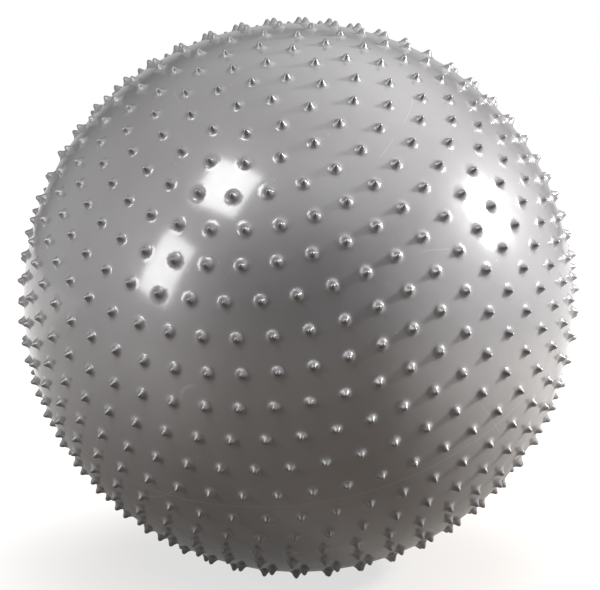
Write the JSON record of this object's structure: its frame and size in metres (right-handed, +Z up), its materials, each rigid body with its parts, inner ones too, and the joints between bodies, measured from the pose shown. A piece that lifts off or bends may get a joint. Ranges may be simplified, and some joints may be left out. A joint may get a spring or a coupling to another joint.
{
  "type": "spiky exercise ball",
  "caption": "Inflatable exercise ball with a hollow vinyl skin covered in short blunt spikes for massage, closed by a push-in air valve plug.",
  "frame": {"origin": "on the floor, under the centre of the ball", "axes": "+Z up; the picture is taken from the -Y side with +X to its right; the spike rings' near pole leans 36.5 degrees from +Z towards the viewer, and the valve is at the far pole, behind and below"},
  "size_m": [0.6653, 0.6654, 0.6593],
  "materials": {
    "skin_vinyl": "semi-gloss pearl grey soft vinyl",
    "seat_vinyl": "satin grey soft vinyl",
    "plug_plastic": "satin off-white plastic"
  },
  "bodies": {
    "ball": {"ball_skin": "skin_vinyl", "valve_seat": "seat_vinyl"},
    "plug": {"valve_plug": "plug_plastic"}
  },
  "joints": [
    {"name": "plug_pull", "type": "slide", "parent": "ball", "child": "plug", "axis": [0.154, 0.5746, -0.8039], "range_m": [0, 0.035]}
  ]
}
